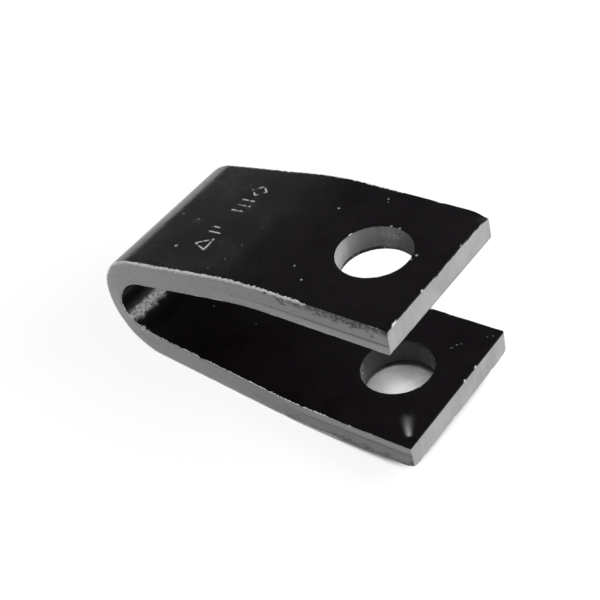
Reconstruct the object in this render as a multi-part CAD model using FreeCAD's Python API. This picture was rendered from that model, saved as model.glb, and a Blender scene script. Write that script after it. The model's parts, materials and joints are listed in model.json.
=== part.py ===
import FreeCAD, Part
import os
from math import cos, pi, radians, sin, tan

# Strap clevis: one length of flat steel bar, folded over into a U and set so that
# its two punched ears lie parallel, ready for a pin through both of them.
#
# Frame, in millimetres: the origin is on the pin hole's axis, half-way between the ears.
# +Z runs along the pin axis from the lower ear to the upper one, +X points away from the
# bend towards the open ends, and +Y runs across the width of the bar.

# The bar
STOCK_THICKNESS = 8.0
STOCK_WIDTH = 50.0
SHEAR_ROLLOVER = 0.8  # radius that the shear leaves along the long edges of the outer face
END_EDGE_BREAK = 0.5  # rounding of each sheared end, where it meets the outer face

# The ears and the pin hole
EAR_GAP = 34.0  # clear height between the two ears
HOLE_DIAMETER = 21.0  # passes a 20 mm pin
HOLE_TO_END = 20.0

# The bend
HOLE_TO_BEND = 66.5  # from the pin axis to the centre of the bend
BEND_INNER_RADIUS = 10.2
BEND_THINNING = 1.1  # thickness lost at the crown of the bend, where the outer fibres stretch
BEND_BULGE = 1.4  # how far each inner edge is squeezed out sideways at the crown
BEND_DRAW_IN = 0.4  # how far each outer edge is drawn in at the crown
BEND_SECTIONS = 13  # cross sections that shape the bend

# The legs, each splayed off the bend and turned back parallel at a gentle knuckle
UPPER_SPLAY = radians(9.5)
LOWER_SPLAY = radians(8.0)
UPPER_KNUCKLE_RADIUS = 100.0  # to the middle of the thickness
LOWER_KNUCKLE_RADIUS = 110.0

# Worked out from the sizes above
HALF_THICKNESS = STOCK_THICKNESS / 2
EAR_MID_HEIGHT = EAR_GAP / 2 + HALF_THICKNESS
BEND_MID_RADIUS = BEND_INNER_RADIUS + HALF_THICKNESS
BEND_CENTRE = FreeCAD.Vector(-HOLE_TO_BEND, 0, 0)
ACROSS = FreeCAD.Vector(0, 1, 0)


def bar_section(inner_face_middle, outward, thickness, inner_half_width, outer_half_width):
    """Closed outline of the bar's cross section: a square inner face, and an outer face
    whose two long edges are rolled over by the shear."""
    inner = inner_face_middle
    outer = inner + outward * thickness

    def side(sign):
        sharp_inner = inner + ACROSS * (sign * inner_half_width)
        sharp_outer = outer + ACROSS * (sign * outer_half_width)
        down_the_side = (sharp_inner - sharp_outer).normalize()
        inboard = ACROSS * -sign
        tangent_length = SHEAR_ROLLOVER / tan(inboard.getAngle(down_the_side) / 2)
        on_face = sharp_outer + inboard * tangent_length
        on_side = sharp_outer + down_the_side * tangent_length
        centre = on_face - outward * SHEAR_ROLLOVER
        halfway = centre + (sharp_outer - centre).normalize() * SHEAR_ROLLOVER
        return sharp_inner, on_side, halfway, on_face

    near_inner, near_side, near_half, near_face = side(-1)
    far_inner, far_side, far_half, far_face = side(1)
    return Part.Wire([
        Part.makeLine(near_inner, far_inner),
        Part.makeLine(far_inner, far_side),
        Part.Arc(far_side, far_half, far_face).toShape(),
        Part.makeLine(far_face, near_face),
        Part.Arc(near_face, near_half, near_side).toShape(),
        Part.makeLine(near_side, near_inner),
    ])


def bend_section(angle):
    """Cross section of the bend at an angle from +X, seen from the bend's centre.
    The crown is thinner, wider inside and narrower outside than the flat bar."""
    start = pi / 2 + UPPER_SPLAY
    finish = 3 * pi / 2 - LOWER_SPLAY
    crown = sin(pi * (angle - start) / (finish - start)) ** 2
    outward = FreeCAD.Vector(cos(angle), 0, sin(angle))
    return bar_section(
        BEND_CENTRE + outward * BEND_INNER_RADIUS,
        outward,
        STOCK_THICKNESS - BEND_THINNING * crown,
        STOCK_WIDTH / 2 + BEND_BULGE * crown,
        STOCK_WIDTH / 2 - BEND_DRAW_IN * crown,
    )


def make_bend():
    """The U itself, from the root of the upper leg round to the root of the lower one."""
    start = pi / 2 + UPPER_SPLAY
    sweep = pi - UPPER_SPLAY - LOWER_SPLAY
    steps = BEND_SECTIONS - 1
    sections = [bend_section(start + sweep * step / steps) for step in range(BEND_SECTIONS)]
    return Part.makeLoft(sections, True, False)


def make_leg(side, splay, knuckle_radius):
    """One leg and its ear. side is 1 for the upper leg and -1 for the lower one."""
    outward = FreeCAD.Vector(-sin(splay), 0, side * cos(splay))
    along = FreeCAD.Vector(cos(splay), 0, side * sin(splay))
    root = BEND_CENTRE + outward * BEND_INNER_RADIUS
    root_face = Part.Face(
        bar_section(root, outward, STOCK_THICKNESS, STOCK_WIDTH / 2, STOCK_WIDTH / 2)
    )
    knuckle_rise = knuckle_radius * (1 - cos(splay))
    rise_left = EAR_MID_HEIGHT - BEND_MID_RADIUS * cos(splay) - knuckle_rise
    straight = root_face.extrude(along * (rise_left / sin(splay)))

    knuckle_face = root_face.translated(along * (rise_left / sin(splay)))
    pivot = root + along * (rise_left / sin(splay)) + outward * (HALF_THICKNESS - knuckle_radius)
    turn = -side * splay * 180 / pi
    knuckle = knuckle_face.revolve(pivot, ACROSS, -turn)

    ear_face = knuckle_face.rotated(pivot, ACROSS, -turn)
    ear_length = HOLE_TO_END - ear_face.CenterOfMass.x
    ear = ear_face.extrude(FreeCAD.Vector(ear_length, 0, 0))
    ear = round_the_end(ear, side)
    return [straight, knuckle, ear]


def round_the_end(ear, side):
    """Breaks the edge between an ear's sheared end and its outer face."""
    outer_height = side * (EAR_MID_HEIGHT + HALF_THICKNESS)
    edges = [
        edge
        for edge in ear.Edges
        if abs(edge.CenterOfMass.x - HOLE_TO_END) < 1e-6
        and abs(edge.CenterOfMass.z - outer_height) < 1e-6
    ]
    return ear.makeFillet(END_EDGE_BREAK, edges)


def make_pin_hole():
    """The cutter for the hole through both ears, long enough to clear them."""
    length = EAR_GAP + 4 * STOCK_THICKNESS
    return Part.makeCylinder(HOLE_DIAMETER / 2, length, FreeCAD.Vector(0, 0, -length / 2))


def make_strap():
    pieces = make_leg(1, UPPER_SPLAY, UPPER_KNUCKLE_RADIUS)
    pieces += make_leg(-1, LOWER_SPLAY, LOWER_KNUCKLE_RADIUS)
    strap = make_bend().fuse(pieces)
    return strap.cut(make_pin_hole())


os.makedirs("parts", exist_ok=True)
make_strap().exportStep("parts/clevis_strap.step")
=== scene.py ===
import bpy
import bmesh
import json
import random
from collections import namedtuple
from math import atan2, ceil, cos, exp, hypot, pi, radians, sin
from mathutils import Matrix, Quaternion, Vector, noise


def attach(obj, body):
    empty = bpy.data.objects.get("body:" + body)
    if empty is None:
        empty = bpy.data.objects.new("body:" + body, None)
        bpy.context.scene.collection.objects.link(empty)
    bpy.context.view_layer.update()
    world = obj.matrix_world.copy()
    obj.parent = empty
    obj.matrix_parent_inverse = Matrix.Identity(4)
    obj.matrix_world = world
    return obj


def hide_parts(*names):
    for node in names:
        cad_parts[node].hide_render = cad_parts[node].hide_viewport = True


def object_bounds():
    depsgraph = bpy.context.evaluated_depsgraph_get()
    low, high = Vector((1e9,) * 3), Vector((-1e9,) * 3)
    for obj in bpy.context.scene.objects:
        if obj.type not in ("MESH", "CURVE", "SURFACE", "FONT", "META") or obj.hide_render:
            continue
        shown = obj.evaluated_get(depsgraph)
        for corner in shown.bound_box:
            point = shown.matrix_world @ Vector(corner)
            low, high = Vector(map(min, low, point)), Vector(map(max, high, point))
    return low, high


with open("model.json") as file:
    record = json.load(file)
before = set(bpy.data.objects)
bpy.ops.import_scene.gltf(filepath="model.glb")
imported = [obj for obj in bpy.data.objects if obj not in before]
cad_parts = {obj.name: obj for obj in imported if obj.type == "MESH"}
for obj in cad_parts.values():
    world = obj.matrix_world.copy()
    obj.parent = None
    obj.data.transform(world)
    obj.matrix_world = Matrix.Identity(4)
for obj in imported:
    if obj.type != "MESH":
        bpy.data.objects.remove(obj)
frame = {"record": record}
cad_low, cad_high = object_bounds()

# Strap clevis: one flat steel bar folded into a U, with a punched hole through both ears.
# All lengths are in metres. +X points from the bend to the open ends, +Y runs across the
# bar and +Z is the pin's axis. A place on the bar is also given as (along, across, up):
# along is measured down the middle of the bar from the upper ear's end, round the bend, to
# the lower ear's end; across from the middle of its width; up from its inner face.

MM = 0.001
dice = random.Random(7)

# --------------------------------------------------------------------------- sizes
mounts = {mount["name"]: mount for mount in frame["record"]["mounts"]}
HALF_GAP = mounts["upper_ear_inner"]["pos_m"][2]
THICKNESS = mounts["upper_ear_outer"]["pos_m"][2] - HALF_GAP
HOLE_RADIUS = mounts["pin_bore"]["dims"]["r_mm"] * MM
HOLE_TO_END = cad_high.x

BEND_INNER_RADIUS = 10.2 * MM
BEND_THINNING = 1.1 * MM
BEND_BULGE = 1.4 * MM
BEND_DRAW_IN = 0.4 * MM
UPPER_SPLAY = radians(9.5)
LOWER_SPLAY = radians(8.0)
UPPER_KNUCKLE_RADIUS = 100 * MM
LOWER_KNUCKLE_RADIUS = 110 * MM

HALF_WIDTH = cad_high.y - BEND_BULGE
BEND_X = cad_low.x + BEND_INNER_RADIUS + THICKNESS - BEND_THINNING
EAR_MID_HEIGHT = HALF_GAP + THICKNESS / 2
BEND_MID_RADIUS = BEND_INNER_RADIUS + THICKNESS / 2
BEND_SWEEP = pi - UPPER_SPLAY - LOWER_SPLAY

OUTER_ROLLOVER = 0.8 * MM  # the shear rolls over the long edges of the outer face
INNER_EDGE_ROUND = 0.18 * MM  # and leaves those of the inner face nearly square
END_EDGE_ROUND = 0.45 * MM
SIDE_DRAFT = 0.3 * MM  # the sheared sides lean in towards the outer face
SKIN = 0.01 * MM  # keeps every surface just inside its nominal size

GRID = 0.65 * MM  # spacing of the mesh over the bar
HOLE_PATCH = 15 * MM  # half the side of the square that is meshed in rings round a hole

ACROSS = Vector((0, 1, 0))

Station = namedtuple("Station", "inner outward thickness inner_half outer_half")


# --------------------------------------------------------------------------- the bar's path
class Leg:
    """One leg and its ear, measured along the middle of the bar from the ear's end."""

    def __init__(self, side, splay, knuckle_radius):
        self.side = side
        self.splay = splay
        self.knuckle_radius = knuckle_radius
        self.outward = Vector((-sin(splay), 0, side * cos(splay)))
        self.towards_ear = Vector((cos(splay), 0, side * sin(splay)))
        knuckle_rise = knuckle_radius * (1 - cos(splay))
        rise = EAR_MID_HEIGHT - BEND_MID_RADIUS * cos(splay) - knuckle_rise
        self.straight = rise / sin(splay)
        self.root = Vector((BEND_X, 0, 0)) + self.outward * BEND_MID_RADIUS
        self.knuckle_arc = knuckle_radius * splay
        knuckle_start = self.root + self.towards_ear * self.straight
        self.knuckle_end_x = knuckle_start.x + knuckle_radius * sin(splay)
        self.flat = HOLE_TO_END - self.knuckle_end_x
        self.length = self.flat + self.knuckle_arc + self.straight

    def middle(self, distance):
        """Point on the middle of the bar, and the outward direction there."""
        if distance <= self.flat:
            middle = Vector((HOLE_TO_END - distance, 0, self.side * EAR_MID_HEIGHT))
            return middle, Vector((0, 0, self.side))
        if distance <= self.flat + self.knuckle_arc:
            turn = (distance - self.flat) / self.knuckle_radius
            outward = Vector((-sin(turn), 0, self.side * cos(turn)))
            pivot_z = self.side * (EAR_MID_HEIGHT - self.knuckle_radius)
            pivot = Vector((self.knuckle_end_x, 0, pivot_z))
            return pivot + outward * self.knuckle_radius, outward
        return self.root + self.towards_ear * (self.length - distance), self.outward


upper_leg = Leg(1, UPPER_SPLAY, UPPER_KNUCKLE_RADIUS)
lower_leg = Leg(-1, LOWER_SPLAY, LOWER_KNUCKLE_RADIUS)
BEND_LENGTH = BEND_MID_RADIUS * BEND_SWEEP
BAR_LENGTH = upper_leg.length + BEND_LENGTH + lower_leg.length
LOWER_HOLE_ALONG = BAR_LENGTH - HOLE_TO_END


def station(along):
    """The bar's cross section at a distance along it."""
    round_bend = (along - upper_leg.length) / BEND_LENGTH
    if 0 < round_bend < 1:
        angle = pi / 2 + UPPER_SPLAY + BEND_SWEEP * round_bend
        crown = sin(pi * round_bend) ** 2
        outward = Vector((cos(angle), 0, sin(angle)))
        return Station(
            Vector((BEND_X, 0, 0)) + outward * BEND_INNER_RADIUS,
            outward,
            THICKNESS - BEND_THINNING * crown,
            HALF_WIDTH + BEND_BULGE * crown,
            HALF_WIDTH - BEND_DRAW_IN * crown,
        )
    if round_bend <= 0:
        middle, outward = upper_leg.middle(along)
    else:
        middle, outward = lower_leg.middle(BAR_LENGTH - along)
    inner = middle - outward * (THICKNESS / 2)
    return Station(inner, outward, THICKNESS, HALF_WIDTH, HALF_WIDTH)


# --------------------------------------------------------------------------- wear and tear
Corner = namedtuple("Corner", "along side reach droop")
Nick = namedtuple("Nick", "along across reach depth")
Dent = namedtuple("Dent", "along across run_along run_across half_width depth")

LONG_EDGE_NICKS = 46
END_NICKS = 22
FACE_WAVE = 0.05 * MM  # how far the rolled faces wander from flat
FACE_WAVE_LENGTH = 9 * MM
SIDE_WAVE = 0.16 * MM  # and the sheared sides
SIDE_WAVE_LENGTH = 3 * MM
SHEAR_TEAR = 0.12 * MM  # roughness of the sheared ends

# Each kind of wear has its own random waves, picked out by a number
OUTER_WAVES, INNER_WAVES, SIDE_WAVES, SHEAR_WAVES, WALL_WAVES = 4.0, 9.0, 2.0, 5.0, 6.0
ENTRY_RIM_WAVES, EXIT_RIM_WAVES, STROKE_WAVES, RUBBED_WAVES = 11.5, 12.5, 14.0, 21.0

# The long tear-drop dent on the inner face of the lower ear, near its corner
EAR_DENT = Dent(BAR_LENGTH - 5.0 * MM, -18.0 * MM, 2.2 * MM, -2.9 * MM, 1.0 * MM, 0.36 * MM)

# The shear pulled the outer face's corners down, the upper ear's far one most
CORNERS = [
    Corner(0, 1, 2.8 * MM, 1.3 * MM),
    Corner(0, -1, 1.1 * MM, 0.45 * MM),
    Corner(BAR_LENGTH, 1, 1.8 * MM, 0.8 * MM),
    Corner(BAR_LENGTH, -1, 1.6 * MM, 0.9 * MM),
]


def scatter_nicks():
    """Small knocks along the long edges and the sheared ends of the outer face."""
    nicks = []
    for _ in range(LONG_EDGE_NICKS):
        across = dice.choice((-1, 1)) * HALF_WIDTH
        along = dice.uniform(0.01, 0.99) * BAR_LENGTH
        nicks.append(Nick(along, across, dice.uniform(0.5, 1.3) * MM, dice.uniform(0.04, 0.16) * MM))
    for _ in range(END_NICKS):
        along = dice.choice((0, 0, BAR_LENGTH))
        across = dice.uniform(-0.95, 0.95) * HALF_WIDTH
        nicks.append(Nick(along, across, dice.uniform(0.4, 0.9) * MM, dice.uniform(0.1, 0.36) * MM))
    return nicks


NICKS = scatter_nicks()


def bump(distance, reach):
    """Smooth hump, 1 at its middle."""
    return exp(-((distance / reach) ** 2))


def smooth_step(value, low, high):
    share = min(max((value - low) / (high - low), 0), 1)
    return share * share * (3 - 2 * share)


def waves(along, across, size, seed):
    """Smooth random waves, from 0 to 1."""
    return 0.5 + 0.5 * noise.noise(Vector((along / size, across / size, seed)))


def place_in_dent(dent, along, across):
    """Share of the way down a dent's run, from -1.3 where it starts to 1.1 at its tip, and
    the distance to one side of it."""
    run = Vector((dent.run_along, dent.run_across))
    offset = Vector((along - dent.along, across - dent.across))
    down_the_run = offset.dot(run) / run.length_squared
    return down_the_run, (offset - run * down_the_run).length


def dent_depth(dent, along, across):
    """Depth of a tear-drop dent: its tip is the deeper and wider end."""
    down_the_run, beside = place_in_dent(dent, along, across)
    taper = smooth_step(down_the_run, -1.3, 0.6) * (1 - smooth_step(down_the_run, 0.8, 1.15))
    return dent.depth * taper * bump(beside, dent.half_width * (0.7 + 0.5 * taper))


def scuff_bareness(dent, along, across):
    """Paint rubbed off in a wedge: wide and faint where a dent starts, bright at its tip."""
    down_the_run, beside = place_in_dent(dent, along, across)
    share = (down_the_run + 1.3) / 2.4
    fade = smooth_step(share, 0, 0.25) * (1 - smooth_step(share, 0.85, 1))
    return fade * (0.1 + 0.6 * share**2) * bump(beside, (1.5 - share) * MM)


def weathered(along, across, up, bar):
    """Moves a place on the bar's surface inwards for the marks of rolling, shearing and knocks."""
    half = bar.inner_half + (bar.outer_half - bar.inner_half) * up / bar.thickness
    sign = 1 if across > 0 else -1
    to_side = half - abs(across)
    to_end = min(along, BAR_LENGTH - along)
    outer_share = up / bar.thickness
    on_side = smooth_step(abs(across) / half, 0.975, 1.0)

    wander = SIDE_WAVE * waves(along, up * 3, SIDE_WAVE_LENGTH, SIDE_WAVES + sign)
    across -= sign * on_side * (SIDE_DRAFT * outer_share + wander)

    droop = 0
    for corner in CORNERS:
        if sign == corner.side and abs(along - corner.along) < 4 * corner.reach:
            droop = corner.droop * bump(hypot(to_side, to_end), corner.reach) * outer_share**2
    if outer_share > 0.5:
        sink = FACE_WAVE * waves(along, across, FACE_WAVE_LENGTH, OUTER_WAVES)
        up -= droop + sink * smooth_step(outer_share, 0.5, 1)
    else:
        rise = FACE_WAVE * waves(along, across, FACE_WAVE_LENGTH, INNER_WAVES)
        up += rise * (1 - smooth_step(outer_share, 0, 0.5))
    if outer_share < 0.2:
        up += dent_depth(EAR_DENT, along, across)
    if outer_share > 0.8 and (to_side < 2 * MM or to_end < 2 * MM):
        for nick in NICKS:
            if abs(along - nick.along) < 3 * nick.reach:
                near = bump(hypot(along - nick.along, across - nick.across), nick.reach)
                up -= nick.depth * near
                across -= sign * 0.5 * nick.depth * near
    return across, up


# --------------------------------------------------------------------------- the strap's mesh
WIDTH_STEPS = 2 * round(HALF_WIDTH / GRID)
ROLLOVER_STEPS = 4
SIDE_STEPS = ceil((THICKNESS - OUTER_ROLLOVER) / GRID)
INNER_ROUND_STEPS = 3
END_ROUND_STEPS = 3
# The strap's finishes, in the order of its material slots
PAINTED_FACE, LONG_SIDE, SHEARED_END, PUNCHED_WALL = range(4)


def quarter(radius, steps):
    """Points of a quarter round, as (distance in from the side, distance in from the face)."""
    turns = [pi / 2 * step / steps for step in range(steps + 1)]
    return [(radius * (1 - sin(turn)), radius * (1 - cos(turn))) for turn in turns]


def half_outline(bar, inset):
    """One side of a cross section as (across, up), from the edge of the outer face to the
    edge of the inner one, with each point's distance from the nearest edge of the bar."""
    outer_half, inner_half = bar.outer_half - inset, bar.inner_half - inset
    top, bottom = bar.thickness - inset, inset
    points = []
    for beside, below in quarter(OUTER_ROLLOVER, ROLLOVER_STEPS):
        points.append((outer_half - beside, top - below))
    side_top = top - OUTER_ROLLOVER
    side_bottom = bottom + INNER_EDGE_ROUND
    for step in range(1, SIDE_STEPS):
        share = step / SIDE_STEPS
        across = outer_half + (inner_half - outer_half) * share
        points.append((across, side_top + (side_bottom - side_top) * share))
    for beside, above in reversed(quarter(INNER_EDGE_ROUND, INNER_ROUND_STEPS)):
        points.append((inner_half - beside, bottom + above))
    return points


HALF_OUTLINE_STEPS = ROLLOVER_STEPS + SIDE_STEPS + INNER_ROUND_STEPS


def section_outline(bar, inset):
    """Closed outline of a cross section: the outer face from -Y to +Y, the +Y side down, the
    inner face back and the -Y side up."""
    far = half_outline(bar, inset)
    near = [(-across, up) for across, up in far]
    outer = [near[0]]
    inner = [far[-1]]
    for step in range(1, WIDTH_STEPS):
        share = 2 * step / WIDTH_STEPS - 1
        outer.append((far[0][0] * share, far[0][1]))
        inner.append((-far[-1][0] * share, far[-1][1]))
    return outer + far[:-1] + inner + near[:0:-1]


OUTLINE_POINTS = 2 * (WIDTH_STEPS + HALF_OUTLINE_STEPS)
FAR_SIDE = WIDTH_STEPS
INNER_FACE = WIDTH_STEPS + HALF_OUTLINE_STEPS
NEAR_SIDE = 2 * WIDTH_STEPS + HALF_OUTLINE_STEPS


def spaced(start, end):
    """Evenly spaced places from start up to but not including end, about a grid step apart."""
    steps = max(1, round((end - start) / GRID))
    return [start + (end - start) * step / steps for step in range(steps)]


def rows_along():
    """Every cross section of the mesh as (along, inset), the rounded ends included."""
    rounding = quarter(END_EDGE_ROUND, END_ROUND_STEPS)
    first = sorted((SKIN + from_end, inset) for inset, from_end in rounding)
    stops = [
        END_EDGE_ROUND + SKIN,
        HOLE_TO_END - HOLE_PATCH,
        HOLE_TO_END + HOLE_PATCH,
        upper_leg.length,
        upper_leg.length + BEND_LENGTH,
        LOWER_HOLE_ALONG - HOLE_PATCH,
        LOWER_HOLE_ALONG + HOLE_PATCH,
        BAR_LENGTH - END_EDGE_ROUND - SKIN,
    ]
    middle = []
    for start, end in zip(stops, stops[1:]):
        middle += [(along, 0) for along in spaced(start, end)]
    last = [(BAR_LENGTH - along, inset) for along, inset in reversed(first)]
    return first[:-1] + middle + last


class StrapMesh:
    """Collects the strap's vertices and faces, with the bar coordinates of each vertex."""

    def __init__(self):
        self.places = []
        self.bar_places = []
        self.edge_gaps = []
        self.faces = []
        self.finishes = []

    def vertex(self, along, across, up, gap):
        bar = station(along)
        worn_across, worn_up = weathered(along, across, up, bar)
        self.places.append(bar.inner + bar.outward * worn_up + ACROSS * worn_across)
        self.bar_places.append((along, across, up))
        self.edge_gaps.append(gap)
        return len(self.places) - 1

    def quad(self, a, b, c, d, finish):
        self.faces.append((a, b, c, d))
        self.finishes.append(finish)

    def strip(self, first, second, finish):
        """Joins two closed loops of as many vertices."""
        for here, (a, d) in enumerate(zip(first, second)):
            b = first[(here + 1) % len(first)]
            c = second[(here + 1) % len(second)]
            self.quad(a, b, c, d, finish)


def edge_gap(bar, along, across, up):
    """Distance over the surface from the nearest edge of the bar, or of a hole."""
    half = bar.outer_half if up > bar.thickness / 2 else bar.inner_half
    to_side = half - abs(across)
    to_face = min(up, bar.thickness - up)
    to_end = min(along, BAR_LENGTH - along)
    in_order = sorted((to_side, to_face, to_end))
    to_hole = min(
        abs(hypot(along - HOLE_TO_END, across) - HOLE_RADIUS),
        abs(hypot(along - LOWER_HOLE_ALONG, across) - HOLE_RADIUS),
    )
    return min(in_order[1], max(to_hole, to_face))


def column_of(across):
    """Column of the outer face nearest to a place across the bar."""
    face_half = HALF_WIDTH - OUTER_ROLLOVER
    return round((across / face_half + 1) * WIDTH_STEPS / 2)


def in_patch(along, column):
    """True for a face cell inside the square round a hole."""
    low, high = column_of(-HOLE_PATCH), column_of(HOLE_PATCH)
    near_hole = min(abs(along - HOLE_TO_END), abs(along - LOWER_HOLE_ALONG)) < HOLE_PATCH
    return near_hole and low <= column < high


def finish_of_column(column):
    if column < FAR_SIDE + ROLLOVER_STEPS // 2:
        return PAINTED_FACE
    if column < INNER_FACE:
        return LONG_SIDE
    if column < NEAR_SIDE:
        return PAINTED_FACE
    if column < OUTLINE_POINTS - ROLLOVER_STEPS // 2:
        return LONG_SIDE
    return PAINTED_FACE


def lay_bar(mesh):
    """The skin of the whole bar but for its ends and the squares round the holes."""
    rows = []
    for along, inset in rows_along():
        bar = station(along)
        row = []
        for across, up in section_outline(bar, inset):
            row.append(mesh.vertex(along, across, up, edge_gap(bar, along, across, up)))
        rows.append((along, row))
    for (along, row), (next_along, next_row) in zip(rows, rows[1:]):
        middle = (along + next_along) / 2
        for column in range(OUTLINE_POINTS):
            on_outer = column < WIDTH_STEPS
            on_inner = INNER_FACE <= column < NEAR_SIDE
            face_column = column if on_outer else NEAR_SIDE - 1 - column
            if (on_outer or on_inner) and in_patch(middle, face_column):
                continue
            after = (column + 1) % OUTLINE_POINTS
            finish = finish_of_column(column)
            mesh.quad(row[column], next_row[column], next_row[after], row[after], finish)
    return rows


def close_end(mesh, row, along, flip):
    """Fills a sheared end with a grid that follows its four sides."""
    top = row[: WIDTH_STEPS + 1]
    far = row[FAR_SIDE : INNER_FACE + 1]
    bottom = row[INNER_FACE : NEAR_SIDE + 1][::-1]
    near = (row[NEAR_SIDE:] + row[:1])[::-1]
    grid = [top]
    for down in range(1, HALF_OUTLINE_STEPS):
        share_down = down / HALF_OUTLINE_STEPS
        line = [near[down]]
        for step in range(1, WIDTH_STEPS):
            share = step / WIDTH_STEPS
            a, b = mesh.bar_places[near[down]], mesh.bar_places[far[down]]
            c, d = mesh.bar_places[top[step]], mesh.bar_places[bottom[step]]
            across = c[1] + (d[1] - c[1]) * share_down
            up = a[2] + (b[2] - a[2]) * share
            rough = SHEAR_TEAR * waves(across, up, 2.2 * MM, SHEAR_WAVES + flip)
            rough *= smooth_step(min(share, 1 - share), 0, 0.03)
            inward = -rough if flip else rough
            line.append(mesh.vertex(along + inward, across, up, min(up, THICKNESS - up)))
        line.append(far[down])
        grid.append(line)
    grid.append(bottom)
    for upper, lower in zip(grid, grid[1:]):
        for step in range(WIDTH_STEPS):
            corners = [upper[step], upper[step + 1], lower[step + 1], lower[step]]
            if flip:
                corners.reverse()
            mesh.quad(*corners, SHEARED_END)


RIM_STEPS = 3
WALL_STEPS = 10
PATCH_RINGS = 8
RING_CROWDING = 1.3  # the rings lie closer together towards the hole
PUNCH_ROLLOVER = 0.12 * MM  # at the hole's mouth, where the punch went in
PUNCH_EXIT_ROUND = 0.12 * MM
PUNCH_EXIT_RADIUS = HOLE_RADIUS + 0.08 * MM
RIM_TEAR = 0.3 * MM


def patch_border(rows, hole_along, on_outer):
    """Vertices round the square left open for a hole, in order, on one face of the bar."""
    low, high = column_of(-HOLE_PATCH), column_of(HOLE_PATCH)
    inside = [row for along, row in rows if abs(along - hole_along) < HOLE_PATCH + GRID / 4]

    def pick(row, column):
        return row[column] if on_outer else row[NEAR_SIDE - column]

    border = [pick(inside[0], column) for column in range(low, high)]
    border += [pick(row, high) for row in inside[:-1]]
    border += [pick(inside[-1], column) for column in range(high, low, -1)]
    border += [pick(row, low) for row in reversed(inside[1:])]
    return border


def punch_hole(mesh, rows, hole_along):
    """The rings round a hole on both faces, its rims and its wall, in one strip of loops."""
    outer_border = patch_border(rows, hole_along, True)
    inner_border = patch_border(rows, hole_along, False)
    places = [mesh.bar_places[vertex] for vertex in outer_border]
    angles = [atan2(across, along - hole_along) for along, across, _ in places]

    def loop(radius_of, up, gap):
        made = []
        for here, angle in enumerate(angles):
            radius = radius_of(here, angle)
            along = hole_along + radius * cos(angle)
            made.append(mesh.vertex(along, radius * sin(angle), up, gap))
        return made

    def ragged(angle, seed):
        """The rim is torn a little, more in some places than others."""
        torn = waves(cos(angle), sin(angle), 0.12, seed)
        return RIM_TEAR * smooth_step(torn, 0.6, 0.9)

    def wall_radius(up):
        """The punch's own track is smooth, and below it the metal broke away wider."""
        broken = 1 - smooth_step(up / THICKNESS, 0.35, 0.5)
        return lambda here, angle: HOLE_RADIUS + broken * (
            0.04 * MM + 0.08 * MM * waves(angle * 6 * MM, up, 0.9 * MM, WALL_WAVES)
        )

    def ring_radius(share, rim_radius, seed):
        """A ring between the rim and the square's border."""
        def radius(here, angle):
            along, across, _ = places[here]
            start = rim_radius + ragged(angle, seed)
            border = hypot(along - hole_along, across)
            return start + (border - start) * share**RING_CROWDING
        return radius

    def rim_radius(radius, torn_share, seed):
        """A rim is torn most at the face, and not at all where the wall starts."""
        return lambda here, angle: radius + ragged(angle, seed) * torn_share

    loops = [(outer_border, PAINTED_FACE)]

    def add_loop(radius_of, up, gap, finish):
        loops.append((loop(radius_of, up, gap), finish))

    shares = [1 - ring / PATCH_RINGS for ring in range(1, PATCH_RINGS)]
    for share in shares:
        radius = ring_radius(share, HOLE_RADIUS + PUNCH_ROLLOVER, ENTRY_RIM_WAVES)
        add_loop(radius, THICKNESS, share * (HOLE_PATCH - HOLE_RADIUS), PAINTED_FACE)
    for beside, below in reversed(quarter(PUNCH_ROLLOVER, RIM_STEPS)):
        radius = rim_radius(HOLE_RADIUS + beside, 1 - below / PUNCH_ROLLOVER, ENTRY_RIM_WAVES)
        add_loop(radius, THICKNESS - below, 0, PAINTED_FACE)
    wall_top, wall_bottom = THICKNESS - PUNCH_ROLLOVER, PUNCH_EXIT_ROUND
    for step in range(1, WALL_STEPS):
        up = wall_top + (wall_bottom - wall_top) * step / WALL_STEPS
        add_loop(wall_radius(up), up, min(THICKNESS - up, up), PUNCHED_WALL)
    for beside, above in quarter(PUNCH_EXIT_ROUND, RIM_STEPS):
        torn_share = 1 - above / PUNCH_EXIT_ROUND
        radius = rim_radius(PUNCH_EXIT_RADIUS + beside, torn_share, EXIT_RIM_WAVES)
        add_loop(radius, above, 0, PUNCHED_WALL)
    for share in reversed(shares):
        radius = ring_radius(share, PUNCH_EXIT_RADIUS + PUNCH_EXIT_ROUND, EXIT_RIM_WAVES)
        add_loop(radius, 0, share * (HOLE_PATCH - HOLE_RADIUS), PAINTED_FACE)
    loops.append((inner_border, PAINTED_FACE))
    for (first, _), (second, finish) in zip(loops, loops[1:]):
        mesh.strip(first, second, finish)


# --------------------------------------------------------------------------- punched marks
# A row of plain strokes and shapes, struck by hand on the upper leg with a cold chisel.
MARK_DEPTH = 0.26 * MM
MARK_HALF_WIDTH = 0.3 * MM
FINE_CUTS = 4  # how many times the mesh is divided again where it has small detail
MARK_ROW_FAR = (69.5 * MM, 10.5 * MM)  # the middle of each group, along and across
MARK_ROW_NEAR = (70.5 * MM, -8.5 * MM)
MARK_ROW_REACH = 8 * MM  # no stroke starts or ends further along than this from the middle

# Strokes as the (along, across) of their two ends, in millimetres round a group's middle
TALLY = [((-2.4, -6.6), (2.4, -6.6)), ((-2.6, -4.1), (2.3, -4.0)), ((-2.2, -1.6), (2.7, -1.5))]
DIAMOND = [
    ((-2.8, 3.3), (0, 1.1)), ((0, 1.1), (2.8, 3.3)), ((2.8, 3.3), (0, 5.5)), ((0, 5.5), (-2.8, 3.3)),
]
ARROW_HEAD = [((-2.6, -6.0), (2.4, -3.6)), ((2.4, -3.6), (-2.6, -1.2)), ((-2.6, -1.2), (-2.6, -6.0))]
STEPPED_PAIR = [((-2.7, 1.6), (1.6, 2.1)), ((-1.4, 4.0), (2.9, 4.5))]


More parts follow.
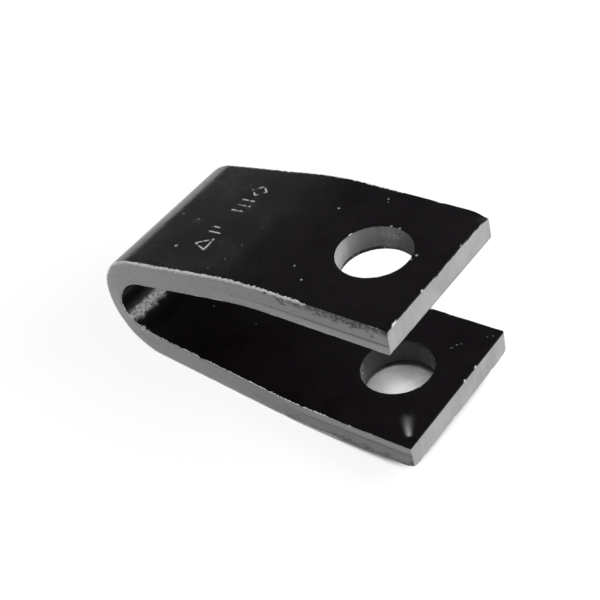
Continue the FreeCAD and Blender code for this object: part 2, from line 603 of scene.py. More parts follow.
def strokes_at(middle, shapes, turn):
    """Strokes given in millimetres round the middle of a group, turned and moved to the bar."""
    placed = []
    for start, end in (stroke for shape in shapes for stroke in shape):
        ends = []
        for run, beside in (start, end):
            along = middle[0] + (run * cos(turn) - beside * sin(turn)) * MM
            across = middle[1] + (run * sin(turn) + beside * cos(turn)) * MM
            ends.append(Vector((along, across)))
        placed.append(tuple(ends))
    return placed


STROKES = strokes_at(MARK_ROW_FAR, (TALLY, DIAMOND), 0.05)
STROKES += strokes_at(MARK_ROW_NEAR, (ARROW_HEAD, STEPPED_PAIR), -0.04)

# --------------------------------------------------------------------------- pits and flakes
Pit = namedtuple("Pit", "face along across radius depth")
Flake = namedtuple("Flake", "along across up radius")
OUTER, INNER = 1, -1
SCATTERED_PITS = 15
BARE_PIT_DEPTH = 0.25 * MM  # a pit this deep or deeper is through the paint

PITS = [
    Pit(OUTER, HOLE_TO_END + 16.5 * MM, -13.1 * MM, 0.34 * MM, 0.25 * MM),
    Pit(OUTER, HOLE_TO_END + 11.4 * MM, -17.0 * MM, 0.38 * MM, 0.25 * MM),
    Pit(OUTER, HOLE_TO_END + 19.5 * MM, 11.9 * MM, 0.42 * MM, 0.25 * MM),
    Pit(OUTER, HOLE_TO_END + 8.8 * MM, 20.5 * MM, 0.36 * MM, 0.2 * MM),
    Pit(OUTER, HOLE_TO_END - 11.3 * MM, 3.0 * MM, 0.5 * MM, 0.2 * MM),
    Pit(OUTER, 78.5 * MM, -14.5 * MM, 0.6 * MM, 0.25 * MM),
    Pit(OUTER, 80.5 * MM, -2.0 * MM, 0.4 * MM, 0.2 * MM),
    Pit(INNER, LOWER_HOLE_ALONG + 10.7 * MM, 14.5 * MM, 0.32 * MM, 0.15 * MM),
    Pit(INNER, LOWER_HOLE_ALONG + 11.6 * MM, 15.4 * MM, 0.24 * MM, 0.1 * MM),
    Pit(INNER, LOWER_HOLE_ALONG + 10.0 * MM, 13.2 * MM, 0.22 * MM, 0.1 * MM),
    Pit(INNER, LOWER_HOLE_ALONG + 18.1 * MM, 21.9 * MM, 0.26 * MM, 0.1 * MM),
    Pit(INNER, LOWER_HOLE_ALONG + 16.8 * MM, 20.9 * MM, 0.22 * MM, 0.1 * MM),
    Pit(INNER, LOWER_HOLE_ALONG - 62.0 * MM, -6.0 * MM, 0.3 * MM, 0.12 * MM),
]
CHIP_ANGLES = (6, 84, 98)
CHIP_CIRCLE = HOLE_RADIUS + 0.3 * MM


def rim_chips():
    """Chips on the rim of the upper hole, at some angles round it from the ear's end."""
    chips = []
    for turn in map(radians, CHIP_ANGLES):
        along, across = HOLE_TO_END - CHIP_CIRCLE * cos(turn), CHIP_CIRCLE * sin(turn)
        chips.append(Pit(OUTER, along, across, 0.42 * MM, 0.3 * MM))
    return chips


def scatter_pits():
    """Small pits that the rolling left here and there on both faces."""
    pits = []
    for _ in range(SCATTERED_PITS):
        face = dice.choice((OUTER, INNER))
        along = dice.uniform(0.02, 0.98) * BAR_LENGTH
        across = dice.uniform(-0.92, 0.92) * HALF_WIDTH
        radius = dice.uniform(0.2, 0.34) * MM
        pits.append(Pit(face, along, across, radius, dice.uniform(0.06, 0.14) * MM))
    return pits


PITS += rim_chips() + scatter_pits()

# Paint flaked off the near edges where the bend starts and ends, and off the sheared ends
FLAKES = [
    Flake(upper_leg.length + 2.0 * MM, -HALF_WIDTH, 7.6 * MM, 0.9 * MM),
    Flake(upper_leg.length + 4.4 * MM, -HALF_WIDTH, 7.2 * MM, 0.8 * MM),
    Flake(upper_leg.length - 2.5 * MM, -HALF_WIDTH, 7.8 * MM, 0.7 * MM),
    Flake(upper_leg.length + 33.5 * MM, -HALF_WIDTH, 0.2 * MM, 1.0 * MM),
    Flake(upper_leg.length + 35.8 * MM, -HALF_WIDTH, 0.1 * MM, 0.8 * MM),
    Flake(upper_leg.length + 40.0 * MM, -HALF_WIDTH, 0.1 * MM, 0.6 * MM),
    Flake(0, -20.6 * MM, THICKNESS - 0.4 * MM, 0.55 * MM),
    Flake(0, -21.7 * MM, THICKNESS - 0.5 * MM, 0.6 * MM),
    Flake(0, -8.0 * MM, THICKNESS - 0.1 * MM, 0.42 * MM),
    Flake(0, 11.0 * MM, THICKNESS - 0.1 * MM, 0.36 * MM),
    Flake(BAR_LENGTH, 9.1 * MM, 0.1 * MM, 0.42 * MM),
    Flake(BAR_LENGTH, 3.2 * MM, 0.2 * MM, 0.36 * MM),
]


def distance_to_stroke(along, across):
    """Distance from a place to the middle of the nearest chisel stroke."""
    if abs(along - MARK_ROW_FAR[0]) > MARK_ROW_REACH:
        return HALF_WIDTH
    place = Vector((along, across))
    nearest = HALF_WIDTH
    for start, end in STROKES:
        run = end - start
        share = min(max((place - start).dot(run) / run.length_squared, 0), 1)
        nearest = min(nearest, (place - start - run * share).length)
    return nearest


def stroke_depth(along, across):
    """Depth of the chisel strokes at a place, and how far the paint is gone from them; that bare
    steel is painted near white, partly as a painted highlight.
    """
    depth = 1 - distance_to_stroke(along, across) / MARK_HALF_WIDTH
    if depth <= 0:
        return 0, 0
    force = 0.4 + 0.6 * smooth_step(waves(along, across, 2.6 * MM, STROKE_WAVES), 0.35, 0.65)
    rubbed = smooth_step(waves(along, across, 1.9 * MM, RUBBED_WAVES), 0.36, 0.5)
    return depth * force * MARK_DEPTH, rubbed * smooth_step(depth, 0.1, 0.4)


def fine_wear(face, along, across):
    """Depth and bareness of the small marks at a place on one face of the bar."""
    depth, bare = stroke_depth(along, across) if face == OUTER else (0, 0)
    for pit in PITS:
        if pit.face == face and abs(along - pit.along) < 2 * pit.radius:
            away = hypot(along - pit.along, across - pit.across)
            if away < 2 * pit.radius:
                depth = max(depth, pit.depth * bump(away, pit.radius * 0.7))
                worn_through = 0.6 * min(pit.depth / BARE_PIT_DEPTH, 1)
                inside = 1 - smooth_step(away, pit.radius * 0.5, pit.radius)
                bare = max(bare, worn_through * inside)
    if face == INNER:
        bare = max(bare, scuff_bareness(EAR_DENT, along, across))
    return depth, bare


def near_fine_wear(face, along, across):
    """True for a place about which the mesh has to be finer."""
    for pit in PITS:
        away = hypot(along - pit.along, across - pit.across)
        if pit.face == face and away < pit.radius * 1.4 + GRID:
            return True
    if face == OUTER:
        return distance_to_stroke(along, across) < GRID + MARK_HALF_WIDTH
    if scuff_bareness(EAR_DENT, along, across) > 0.01:
        return True
    return dent_depth(EAR_DENT, along, across) > 0.1 * EAR_DENT.depth


def strike_marks(shape):
    """Divides the mesh where the small marks are, sinks them in and notes their bare metal."""
    bar_place = shape.verts.layers.float_vector["bar_place"]
    bareness = shape.verts.layers.float["bare_steel"]
    edges = {}
    for face in shape.faces:
        if face.material_index != PAINTED_FACE:
            continue
        along, across, up = face.verts[0][bar_place]
        side = OUTER if up > 0.95 * THICKNESS - BEND_THINNING else INNER
        if near_fine_wear(side, along, across):
            edges.update(dict.fromkeys(face.edges))
    bmesh.ops.subdivide_edges(shape, edges=list(edges), cuts=FINE_CUTS, use_grid_fill=True)
    for vertex in shape.verts:
        along, across, up = vertex[bar_place]
        for flake in FLAKES:
            if abs(along - flake.along) < flake.radius:
                away = (Vector((along, across, up)) - Vector(flake[:3])).length
                if away < flake.radius:
                    vertex[bareness] = 1 - smooth_step(away, flake.radius * 0.6, flake.radius)
        if 0.5 * MM < up < THICKNESS - BEND_THINNING - 0.01 * MM:
            continue
        side = OUTER if up > THICKNESS / 2 else INNER
        depth, bare = fine_wear(side, along, across)
        if depth or bare:
            vertex.co -= station(along).outward * side * depth
            vertex[bareness] = max(bare, vertex[bareness])


def build_strap():
    mesh = StrapMesh()
    rows = lay_bar(mesh)
    close_end(mesh, rows[0][1], rows[0][0], False)
    close_end(mesh, rows[-1][1], rows[-1][0], True)
    punch_hole(mesh, rows, HOLE_TO_END)
    punch_hole(mesh, rows, LOWER_HOLE_ALONG)
    data = bpy.data.meshes.new("clevis_strap_body")
    data.from_pydata(mesh.places, [], mesh.faces)
    data.polygons.foreach_set("material_index", mesh.finishes)
    bar_place = data.attributes.new("bar_place", "FLOAT_VECTOR", "POINT")
    bar_place.data.foreach_set("vector", [value for place in mesh.bar_places for value in place])
    gap = data.attributes.new("edge_gap", "FLOAT", "POINT")
    gap.data.foreach_set("value", mesh.edge_gaps)
    data.attributes.new("bare_steel", "FLOAT", "POINT")
    shape = bmesh.new()
    shape.from_mesh(data)
    loose = [vertex for vertex in shape.verts if not vertex.link_faces]
    bmesh.ops.delete(shape, geom=loose, context="VERTS")
    bmesh.ops.recalc_face_normals(shape, faces=shape.faces)
    strike_marks(shape)
    shape.to_mesh(data)
    shape.free()
    data.shade_smooth()
    data.set_sharp_from_angle(angle=radians(50))
    strap = bpy.data.objects.new("clevis_strap_body", data)
    bpy.context.scene.collection.objects.link(strap)
    flat_faces = strap.modifiers.new("keep_faces_flat", "WEIGHTED_NORMAL")
    flat_faces.keep_sharp = True
    return strap


# --------------------------------------------------------------------------- node helpers
class Wiring:
    """Short ways to add nodes to a material or a node group and join them up."""

    def __init__(self, tree):
        self.tree = tree
        self.column = 0

    def add(self, kind, inputs=(), **settings):
        node = self.tree.nodes.new(kind)
        node.location = (180 * self.column, -60 * (self.column % 5))
        self.column += 1
        for name, value in settings.items():
            setattr(node, name, value)
        for name, value in dict(inputs).items():
            self.feed(node.inputs[name], value)
        return node

    def feed(self, socket, value):
        if isinstance(value, bpy.types.NodeSocket):
            self.tree.links.new(value, socket)
        else:
            socket.default_value = value

    def math(self, operation, *values):
        return self.add("ShaderNodeMath", enumerate(values), operation=operation).outputs[0]

    def times(self, product, *others):
        """Product of two or more values."""
        for other in others:
            product = self.math("MULTIPLY", product, other)
        return product

    def rest_of(self, share):
        return self.math("SUBTRACT", 1.0, share)

    def step(self, value, low, high, to_low=0.0, to_high=1.0):
        """Smooth ramp of a value from low to high."""
        inputs = {"Value": value, "From Min": low, "From Max": high}
        inputs |= {"To Min": to_low, "To Max": to_high}
        node = self.add("ShaderNodeMapRange", inputs, interpolation_type="SMOOTHSTEP")
        return node.outputs["Result"]

    def noise(self, place, scale, detail=2.0, roughness=0.5):
        inputs = {"Vector": place, "Scale": scale, "Detail": detail, "Roughness": roughness}
        return self.add("ShaderNodeTexNoise", inputs).outputs["Fac"]

    def stretched(self, place, scale):
        return self.add("ShaderNodeMapping", {"Vector": place, "Scale": scale}).outputs[0]

    def blend(self, share, first, second):
        """Colour between two others."""
        node = self.add("ShaderNodeMix", data_type="RGBA")
        for here, value in ((0, share), (6, first), (7, second)):
            self.feed(node.inputs[here], value)
        return node.outputs[2]

    def lean(self, share, first, second):
        """Number between two others."""
        node = self.add("ShaderNodeMix", data_type="FLOAT")
        for here, value in ((0, share), (2, first), (3, second)):
            self.feed(node.inputs[here], value)
        return node.outputs[0]

    def attribute(self, name, output="Fac"):
        return self.add("ShaderNodeAttribute", attribute_name=name).outputs[output]

    def group(self, group, inputs):
        return self.add("ShaderNodeGroup", inputs, node_tree=group).outputs


def new_group(name, inputs, outputs):
    """Empty shader group; gives its wiring, its inputs and the sockets its outputs go into."""
    group = bpy.data.node_groups.new(name, "ShaderNodeTree")
    for label in inputs:
        kind = "NodeSocketVector" if label == "Place" else "NodeSocketFloat"
        group.interface.new_socket(label, in_out="INPUT", socket_type=kind)
    for label in outputs:
        group.interface.new_socket(label, in_out="OUTPUT", socket_type="NodeSocketFloat")
    wiring = Wiring(group)
    start = wiring.add("NodeGroupInput")
    end = wiring.add("NodeGroupOutput")
    return group, wiring, start.outputs, end.inputs


def new_material(name):
    """Material with one shader; gives its wiring and the shader's sockets."""
    material = bpy.data.materials.new(name)
    material.use_nodes = True
    material.node_tree.nodes.clear()
    w = Wiring(material.node_tree)
    shader = w.add("ShaderNodeBsdfPrincipled")
    w.add("ShaderNodeOutputMaterial", {"Surface": shader.outputs["BSDF"]})
    return material, w, shader.inputs


def grey(value, tint=0.0):
    """Plain grey, or with some tint the faint violet of thin black paint."""
    return (value * (1 + tint), value * (1 - tint), value * (1 + tint), 1.0)


# --------------------------------------------------------------------------- shared finishes
def make_edge_wear():
    """Paint rubbed off the edges, in stretches of uneven length and width."""
    inputs = ("Place", "Edge Gap", "Width", "Cover")
    group, w, start, end = new_group("broken_edge_wear", inputs, ("Mask",))
    stretches = w.noise(start["Place"], 150.0, 3.0, 0.6)
    ragged = w.noise(start["Place"], 1300.0, 3.0, 0.65)
    shown = w.step(w.math("ADD", stretches, start["Cover"]), 0.88, 1.08)
    reach = w.times(start["Width"], w.step(ragged, 0.32, 0.66, 0.6, 1.3), shown)
    inside = w.math("SUBTRACT", reach, start["Edge Gap"])
    w.feed(end["Mask"], w.times(w.step(inside, 0.0, 0.12 * MM), w.step(shown, 0.0, 0.2)))
    return group


def make_paint_film():
    """Fine orange peel of thin paint over mill scale, with blotches and stray dust."""
    group, w, start, end = new_group("paint_film", ("Place",), ("Height", "Blotch", "Dust"))
    place = start["Place"]
    peel = w.noise(place, 1400.0, 4.0, 0.6)
    waves_under = w.noise(place, 210.0, 2.0)
    w.feed(end["Height"], w.math("ADD", w.times(peel, 0.5), w.times(waves_under, 1.4)))
    w.feed(end["Blotch"], w.step(w.noise(place, 75.0, 4.0, 0.6), 0.3, 0.7))
    cells = w.add("ShaderNodeTexVoronoi", {"Vector": place, "Scale": 520.0})
    size = w.times(w.noise(place, 90.0), 0.2)
    grains = w.rest_of(w.step(cells.outputs["Distance"], 0.03, size))
    patches = w.step(w.noise(place, 60.0, 2.0), 0.56, 0.7)
    w.feed(end["Dust"], w.times(grains, patches))
    return group


def make_shear_drag():
    """Lines that a shear blade or a punch drags down the cut, over a coarser torn grain."""
    group, w, start, end = new_group("shear_drag", ("Place", "Fineness"), ("Lines", "Torn"))
    w.feed(end["Lines"], w.noise(start["Place"], start["Fineness"], 4.0, 0.7))
    w.feed(end["Torn"], w.noise(start["Place"], 650.0, 5.0, 0.65))
    return group


edge_wear = make_edge_wear()
paint_film = make_paint_film()
shear_drag = make_shear_drag()


def bar_coordinates(w):
    """The place on the bar as a vector, and its distances along, across and up."""
    place = w.attribute("bar_place", "Vector")
    split = w.add("ShaderNodeSeparateXYZ", {"Vector": place}).outputs
    return place, split["X"], split["Y"], split["Z"]


def distance_to_end(w, along):
    return w.math("MINIMUM", along, w.math("SUBTRACT", BAR_LENGTH, along))


def worn_edge(w, place, width, cover):
    """Mask of the bare steel along the nearest edge."""
    inputs = {"Place": place, "Edge Gap": w.attribute("edge_gap"), "Width": width, "Cover": cover}
    return w.group(edge_wear, inputs)["Mask"]


def raise_surface(w, shader, height, distance):
    inputs = {"Height": height, "Distance": distance}
    w.feed(shader["Normal"], w.add("ShaderNodeBump", inputs).outputs["Normal"])


BARE_STEEL = grey(0.62)
# Bare steel painted near white: real wear, and partly a painted highlight on strokes, edges, specks
# and the fold
HIGHLIGHT_BRIGHT_STEEL = grey(0.92)
RUBBED_STEEL = grey(0.40)
DOWN_THE_CUT = (1.0, 1.0, 0.05)  # draws a texture out into lines from face to face
ALONG_THE_BAR = (0.04, 1.0, 1.0)  # and into lines from end to end

# Along the ears paint still wraps over the long edges; from the knuckle on it is rubbed off, and
# that bare edge is drawn wider and brighter as a painted highlight line
EAR_RUBBED_TO = 22 * MM
LEG_RUBBED_FROM = 28 * MM

# --------------------------------------------------------------------------- painted faces
BLACK_PAINT = grey(0.0050, 0.17)
BLACK_PAINT_THIN = grey(0.0080, 0.15)
DUST_GREY = grey(0.16)
# Painted highlight inside the fold, drawn as a band of crazed scale and paint
FOLD_HIGHLIGHT_ALONG = upper_leg.length + 0.67 * BEND_LENGTH
FOLD_HIGHLIGHT_REACH = 3.6 * MM
FOLD_HIGHLIGHT_WANDER = 0.8 * FOLD_HIGHLIGHT_REACH


def painted_highlight_in_fold(w, place, along, on_inner):
    """Painted highlight: a band inside the fold where the window light would reflect, painted bright
    as crazed scale and paint.
    """
    wander = w.times(w.noise(place, 260.0, 3.0), 2 * FOLD_HIGHLIGHT_WANDER)
    from_middle = w.math("ABSOLUTE", w.math("SUBTRACT", along, FOLD_HIGHLIGHT_ALONG))
    from_middle = w.math("ADD", from_middle, w.math("SUBTRACT", wander, FOLD_HIGHLIGHT_WANDER))
    band = w.step(from_middle, FOLD_HIGHLIGHT_REACH, 0.2 * FOLD_HIGHLIGHT_REACH)
    highlight_speckle = w.noise(w.stretched(place, (2.0, 1.0, 1.0)), 900.0, 5.0, 0.75)
    return w.times(band, on_inner, w.step(highlight_speckle, 0.40, 0.54), 0.9)


def make_painted_face():
    """Black paint on the rolled faces, chipped to bright steel at pits, strokes and edges; the bare
    steel is painted near white, partly as a painted highlight, and a painted highlight lies inside
    the fold.
    """
    material, w, shader = new_material("black_paint_on_rolled_face")
    place, along, across, up = bar_coordinates(w)
    on_outer = w.math("GREATER_THAN", up, THICKNESS / 2)
    film = w.group(paint_film, {"Place": place})
    paint = w.blend(film["Blotch"], BLACK_PAINT, BLACK_PAINT_THIN)
    paint = w.blend(w.times(film["Dust"], 0.35), paint, DUST_GREY)
    # painted highlight of the window light inside the fold
    fold_highlight = painted_highlight_in_fold(w, place, along, w.rest_of(on_outer))
    paint = w.blend(fold_highlight, paint, HIGHLIGHT_BRIGHT_STEEL)

    # painted highlight line: the edge wear is wider and brighter past the ears, partly real wear
    edge_highlight_past_ear = w.step(distance_to_end(w, along), EAR_RUBBED_TO, LEG_RUBBED_FROM)
    edge_highlight_past_ear = w.times(edge_highlight_past_ear, w.lean(on_outer, 0.6, 1.0))
    to_side = w.math("SUBTRACT", HALF_WIDTH, w.math("ABSOLUTE", across))
    rubbed = w.times(w.step(to_side, 2 * MM, 1 * MM), w.lean(edge_highlight_past_ear, 0.2, 1.0))
    width = w.lean(edge_highlight_past_ear, 0.4 * MM, 0.85 * MM)
    worn = worn_edge(w, place, width, w.lean(rubbed, 0.31, 0.78))
    glint = w.step(w.noise(place, 2600.0, 2.0), 0.25, 0.4)
    bare = w.math("MAXIMUM", w.times(w.attribute("bare_steel"), glint), worn)

    # bare steel painted near white, partly as a painted highlight
    w.feed(shader["Base Color"], w.blend(bare, paint, HIGHLIGHT_BRIGHT_STEEL))
    sheen = w.step(film["Blotch"], 0.0, 1.0, 0.24, 0.29)
    w.feed(shader["Roughness"], w.lean(bare, sheen, 0.45))
    w.feed(shader["Metallic"], w.times(bare, 0.1))
    height = w.math("SUBTRACT", film["Height"], w.times(bare, 0.6))
    raise_surface(w, shader, height, 0.02 * MM)
    return material


# --------------------------------------------------------------------------- long sides
SIDE_STEEL = (grey(0.24), grey(0.31))  # between and on the drag lines
SIDE_BLOTCH = grey(0.34)
BEND_SIDE = grey(0.40)
SHADED_LOWER_EAR_SIDE = grey(0.12)
SMUDGED_PAINT = grey(0.02)
BURNISHED_SIDE = grey(0.45)
TEAR_SHADE = grey(0.03)
TEAR_UP = 0.3 * THICKNESS  # a torn line runs along the sides here, burnished below it


def side_smudges(w, place, up, to_end, by_the_ears):
    """Paint streaked on the sides and wrapped over their outer edge by the ears, and specks."""
    streaks = w.noise(w.stretched(place, (0.6, 1.0, 1.0)), 620.0, 5.0, 0.7)
    outer_half = w.step(up, 0.45 * THICKNESS, 0.95 * THICKNESS)
    streaks = w.math("ADD", streaks, w.times(outer_half, by_the_ears, 0.27))
    by_outer_edge = w.step(up, 0.66 * THICKNESS, 0.93 * THICKNESS)
    along_ear = w.step(to_end, 1.5 * LEG_RUBBED_FROM, 20 * MM, 0.0, 0.9)
    wrapped = w.times(by_outer_edge, along_ear)
    mottle = w.step(w.noise(place, 1500.0, 3.0, 0.6), 0.34, 0.58, 0.25, 1.0)
    smudges = w.times(w.math("MAXIMUM", w.step(streaks, 0.60, 0.76), wrapped), mottle)
    specks = w.step(w.noise(place, 1100.0, 3.0, 0.6), 0.66, 0.72)
    return w.math("MAXIMUM", smudges, w.times(specks, 0.6))


def make_long_side():
    """The bar's long sides: satin grey steel, with paint smudged on it towards the ears, painted
    shade on the lower ear and a painted highlight line on the outer edge past the ears.
    """
    material, w, shader = new_material("satin_steel_long_side")
    place, along, _, up = bar_coordinates(w)
    to_end = distance_to_end(w, along)
    by_the_ears = w.step(to_end, 58 * MM, 20 * MM)
    lines = {"Place": w.stretched(place, ALONG_THE_BAR), "Fineness": 900.0}
    drag = w.group(shear_drag, lines)
    film = w.group(paint_film, {"Place": place})
    tone = w.blend(drag["Lines"], *SIDE_STEEL)
    tone = w.blend(w.step(film["Blotch"], 0.0, 1.0, 0.0, 0.3), tone, SIDE_BLOTCH)
    tone = w.blend(w.step(to_end, 30 * MM, 100 * MM, 0.0, 0.5), tone, BEND_SIDE)
    # painted shade: the lower ear's side is darkened towards its end, under the upper ear
    lower_ear_shade = w.step(along, BAR_LENGTH - 80 * MM, BAR_LENGTH - 20 * MM, 0.0, 0.45)
    tone = w.blend(lower_ear_shade, tone, SHADED_LOWER_EAR_SIDE)
    dark = side_smudges(w, place, up, to_end, by_the_ears)
    tone = w.blend(dark, tone, SMUDGED_PAINT)

    tear_line = w.math("ADD", TEAR_UP, w.times(drag["Torn"], 0.9 * MM))
    off_line = w.math("ABSOLUTE", w.math("SUBTRACT", up, tear_line))
    tear = w.times(w.step(off_line, 0.35 * MM, 0.1 * MM), by_the_ears)
    burnished = w.times(w.step(up, TEAR_UP, 0.6 * TEAR_UP), by_the_ears)
    tone = w.blend(w.times(burnished, 0.5), tone, BURNISHED_SIDE)
    tone = w.blend(w.times(tear, 0.6), tone, TEAR_SHADE)

    # painted highlight line: the outer edge's wear is wider and brighter past the ears, partly real
    # wear
    edge_highlight_past_ear = w.step(to_end, EAR_RUBBED_TO, LEG_RUBBED_FROM)
    outer_edge = w.times(edge_highlight_past_ear, w.step(up, 0.5 * THICKNESS, THICKNESS))
    width = w.lean(outer_edge, 0.4 * MM, 0.8 * MM)
    worn = worn_edge(w, place, width, w.lean(outer_edge, 0.36, 0.76))
    flaked = w.times(w.attribute("bare_steel"), w.step(drag["Torn"], 0.4, 0.55))
    w.feed(shader["Base Color"], w.blend(w.math("MAXIMUM", worn, flaked), tone, BARE_STEEL))
    w.feed(shader["Roughness"], w.step(drag["Torn"], 0.3, 0.7, 0.42, 0.58))
    w.feed(shader["Metallic"], w.times(w.rest_of(dark), 0.25))
    height = w.math("ADD", drag["Lines"], drag["Torn"])
    height = w.math("SUBTRACT", height, w.times(tear, 1.5))
    raise_surface(w, shader, height, 0.05 * MM)
    return material


# --------------------------------------------------------------------------- sheared ends
END_STEEL = (grey(0.27), grey(0.37))
END_BLOTCH = grey(0.50)
END_SPECK = grey(0.05)
END_BRIGHT = grey(0.75)


def make_sheared_end():
    """The ends of the bar: pale steel from the shear, with fine drag lines."""
    material, w, shader = new_material("pale_steel_sheared_end")
    place = w.attribute("bar_place", "Vector")
    drag = w.group(shear_drag, {"Place": w.stretched(place, DOWN_THE_CUT), "Fineness": 700.0})
    film = w.group(paint_film, {"Place": place})
    tone = w.blend(drag["Lines"], *END_STEEL)
    tone = w.blend(w.step(film["Blotch"], 0.0, 1.0, 0.0, 0.4), tone, END_BLOTCH)
    specks = w.step(w.noise(place, 1000.0, 3.0, 0.6), 0.68, 0.74)
    tone = w.blend(w.times(specks, 0.6), tone, END_SPECK)
    worn = worn_edge(w, place, 0.4 * MM, 0.3)
    bright = w.math("MAXIMUM", worn, w.times(w.attribute("bare_steel"), 0.8))
    w.feed(shader["Base Color"], w.blend(bright, tone, END_BRIGHT))
    w.feed(shader["Roughness"], w.step(drag["Torn"], 0.3, 0.7, 0.42, 0.6))
    w.feed(shader["Metallic"], w.times(drag["Lines"], 0.3))
    raise_surface(w, shader, w.math("ADD", drag["Lines"], drag["Torn"]), 0.06 * MM)
    return material


# --------------------------------------------------------------------------- hole walls
WALL_STEEL = (grey(0.34), grey(0.50))
TORN_WALL = grey(0.18)
SHADED_FAR_WALL = grey(0.09)
LOWER_WALL_PAINT_AND_SHADE = grey(0.02)
FOOT_SHADE = grey(0.012)


def shaded_upper_foot(w, along, across, up, in_lower_hole):
    """Painted shadow: the foot of the upper hole's wall on the side of the fold, darkened."""
    foot = w.step(up, 0.17 * THICKNESS, 0.12 * THICKNESS)
    from_middle = w.math("SUBTRACT", along, HOLE_TO_END)
    towards_fold = w.step(from_middle, 0.25 * HOLE_RADIUS, 0.5 * HOLE_RADIUS)
    to_far_side = w.step(across, -0.35 * HOLE_RADIUS, -0.05 * HOLE_RADIUS)
    return w.times(foot, towards_fold, to_far_side, w.rest_of(in_lower_hole))


def make_punched_wall():
    """Walls of the holes: burnished where the punch slid, torn and darker below. The lower hole's
    wall is dark with paint and painted shade, with painted glints of steel on its near side."""
    material, w, shader = new_material("punched_hole_wall")
    place, along, across, up = bar_coordinates(w)
    in_lower_hole = w.step(along, 0.4 * BAR_LENGTH, 0.6 * BAR_LENGTH)
    drag = w.group(shear_drag, {"Place": w.stretched(place, DOWN_THE_CUT), "Fineness": 1500.0})
    torn_part = w.step(up, 0.5 * THICKNESS, 0.3 * THICKNESS)
    tone = w.blend(drag["Lines"], *WALL_STEEL)
    tone = w.blend(w.times(torn_part, 0.3), tone, TORN_WALL)
    # painted shade: the hole walls are darkened towards the +Y side of each hole
    far_wall_shade = w.step(across, -0.3 * HOLE_RADIUS, 0.6 * HOLE_RADIUS, 0.0, 0.72)
    tone = w.blend(far_wall_shade, tone, SHADED_FAR_WALL)
    # the lower hole's wall is darkened: paint on it, and painted shade under the upper ear
    tone = w.blend(w.times(in_lower_hole, 0.93), tone, LOWER_WALL_PAINT_AND_SHADE)
    # painted shadow at the foot of the upper hole's wall
    tone = w.blend(shaded_upper_foot(w, along, across, up, in_lower_hole), tone, FOOT_SHADE)

    # painted glints: bright specks on the hole walls, most on the lower hole's near side
    near_side = w.times(w.step(across, 0.0, -0.6 * HOLE_RADIUS), in_lower_hole)
    patches = w.math("ADD", w.noise(place, 350.0, 3.0), w.times(near_side, 0.3))
    sparkle = w.step(w.noise(place, 2400.0, 2.0, 0.6), 0.58, 0.66)
    tone = w.blend(w.times(sparkle, w.step(patches, 0.62, 0.72)), tone, HIGHLIGHT_BRIGHT_STEEL)
    w.feed(shader["Base Color"], w.blend(worn_edge(w, place, 0.3 * MM, 0.26), tone, RUBBED_STEEL))
    w.feed(shader["Roughness"], w.step(drag["Torn"], 0.3, 0.7, 0.33, 0.5))
    w.feed(shader["Metallic"], w.lean(in_lower_hole, w.lean(torn_part, 0.3, 0.15), 0.05))
    raise_surface(w, shader, w.math("ADD", drag["Lines"], drag["Torn"]), 0.06 * MM)
    return material


# The finishes are added in the order that PAINTED_FACE and the others are numbered
strap = build_strap()
for make in (make_painted_face, make_long_side, make_sheared_end, make_punched_wall):
    strap.data.materials.append(make())
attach(strap, "root")
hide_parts("clevis_strap")

# --------------------------------------------------------------------------- floor
# The strap lies on the outer face of its splayed lower leg.
FLOOR_HALF = 1.5
FLOOR_CLEARANCE = 0.05 * MM
TABLE_SEEN = 0.20  # the table's own grey, where it is in the strap's shadow
TABLE_GLOW = 0.88  # what is added to it in the open
TABLE_BOUNCE = 0.4  # its grey as a source of bounced light
SHADOW_REACH = 50 * MM
floor_up = -lower_leg.outward
floor_point = lower_leg.root - floor_up * (THICKNESS / 2 + FLOOR_CLEARANCE)


def make_floor():
    shape = bmesh.new()
    bmesh.ops.create_grid(shape, x_segments=8, y_segments=8, size=FLOOR_HALF)
    data = bpy.data.meshes.new("table_top")
    shape.to_mesh(data)
    shape.free()
    floor = bpy.data.objects.new("table_top", data)
    floor.rotation_mode = "QUATERNION"
    floor.rotation_quaternion = Vector((0, 0, 1)).rotation_difference(floor_up)
    floor.location = floor_point
    bpy.context.scene.collection.objects.link(floor)
    return floor


def make_white_table():
    """White table: a matt surface under the lamps, washed out to white by a glow away from the
    strap; the glow fades with ambient occlusion into a painted shadow near and under it.
    """
    material = bpy.data.materials.new("white_table")
    material.use_nodes = True
    material.node_tree.nodes.clear()
    w = Wiring(material.node_tree)
    seen = w.add("ShaderNodeLightPath").outputs
    direct = w.math("MAXIMUM", seen["Is Camera Ray"], seen["Is Glossy Ray"])
    openness = w.add("ShaderNodeAmbientOcclusion", {"Distance": SHADOW_REACH}, samples=32)
    # painted shadow: the glow fades where ambient occlusion is low, near and under the strap
    glow = w.times(w.step(openness.outputs["AO"], 0.22, 0.42, 0.0, TABLE_GLOW), direct)
    tone = w.blend(direct, grey(TABLE_BOUNCE), grey(TABLE_SEEN))
    matt = w.add("ShaderNodeBsdfDiffuse", {"Color": tone})
    light = w.add("ShaderNodeEmission", {"Strength": glow})
    both = w.add("ShaderNodeAddShader", {0: matt.outputs[0], 1: light.outputs[0]})
    w.add("ShaderNodeOutputMaterial", {"Surface": both.outputs[0]})
    return material


floor = make_floor()
floor.data.materials.append(make_white_table())


# --------------------------------------------------------------------------- light and camera
DIFFUSE_LIGHT = 0.34
strap_middle = (cad_low + cad_high) / 2


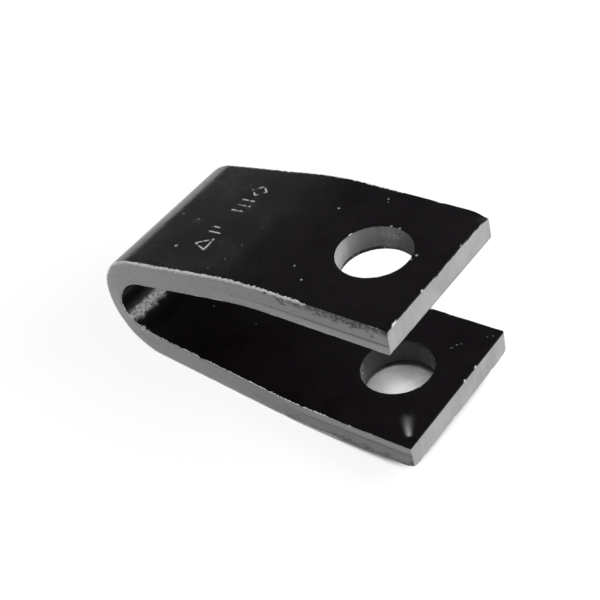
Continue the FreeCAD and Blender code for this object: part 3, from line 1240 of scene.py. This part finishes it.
def make_world():
    """White to the eye; a soft even light on the strap; in reflections pale at eye level
    and dark overhead."""
    world = bpy.data.worlds.new("white_studio")
    world.use_nodes = True
    world.node_tree.nodes.clear()
    w = Wiring(world.node_tree)
    seen = w.add("ShaderNodeLightPath").outputs
    towards = w.add("ShaderNodeTexCoord").outputs["Generated"]
    height = w.add("ShaderNodeSeparateXYZ", {"Vector": towards}).outputs["Z"]
    reflected = w.step(height, 0.03, 0.28, 1.0, 0.06)
    strength = w.lean(seen["Is Glossy Ray"], DIFFUSE_LIGHT, reflected)
    strength = w.lean(seen["Is Camera Ray"], strength, 1.0)
    light = w.add("ShaderNodeBackground", {"Color": grey(1.0), "Strength": strength})
    w.add("ShaderNodeOutputWorld", {"Surface": light.outputs[0]})
    bpy.context.scene.world = world


def add_lamp(name, direction, distance, width, height, watts):
    """Soft oval lamp that faces the middle of the strap from a direction."""
    data = bpy.data.lights.new(name, "AREA")
    data.shape = "ELLIPSE"
    data.size = width
    data.size_y = height
    data.energy = watts
    lamp = bpy.data.objects.new(name, data)
    towards = Vector(direction).normalized()
    lamp.location = strap_middle + towards * distance
    lamp.rotation_mode = "QUATERNION"
    lamp.rotation_quaternion = towards.to_track_quat("Z", "Y")
    bpy.context.scene.collection.objects.link(lamp)
    return lamp


make_world()
window = add_lamp("window_light", (0.80, 0.50, 0.42), 0.9, 0.7, 0.8, 8.0)
window.visible_glossy = False  # so that it doesn't glare in the paint from low down
add_lamp("low_back_panel", (-0.83, 0.54, 0.06), 0.9, 0.8, 0.10, 0.95)
add_lamp("front_fill", (-0.55, -0.80, 0.28), 1.1, 0.3, 0.3, 1.6)

CAMERA_PLACE = Vector((178.2, -206.5, 239.8)) * MM
CAMERA_AZIMUTH = radians(45.37)
CAMERA_ELEVATION = radians(39.55)
CAMERA_LEAN = radians(14.45)
CAMERA_LENS_MM = 80
CAMERA_SENSOR_MM = 36


def add_camera():
    data = bpy.data.cameras.new("product_camera")
    data.lens = CAMERA_LENS_MM
    data.sensor_width = CAMERA_SENSOR_MM
    data.clip_start = 10 * MM
    camera = bpy.data.objects.new("product_camera", data)
    level = Vector((cos(CAMERA_AZIMUTH), sin(CAMERA_AZIMUTH), 0))
    backwards = Quaternion(level, -CAMERA_ELEVATION) @ Vector((level.y, -level.x, 0))
    upright = backwards.cross(level)
    right = level * cos(CAMERA_LEAN) - upright * sin(CAMERA_LEAN)
    up = upright * cos(CAMERA_LEAN) + level * sin(CAMERA_LEAN)
    turn = Matrix((right, up, backwards)).transposed()
    camera.matrix_world = Matrix.Translation(CAMERA_PLACE) @ turn.to_4x4()
    bpy.context.scene.collection.objects.link(camera)
    return camera


bpy.context.scene.camera = add_camera()
bpy.context.scene.view_settings.view_transform = "Standard"
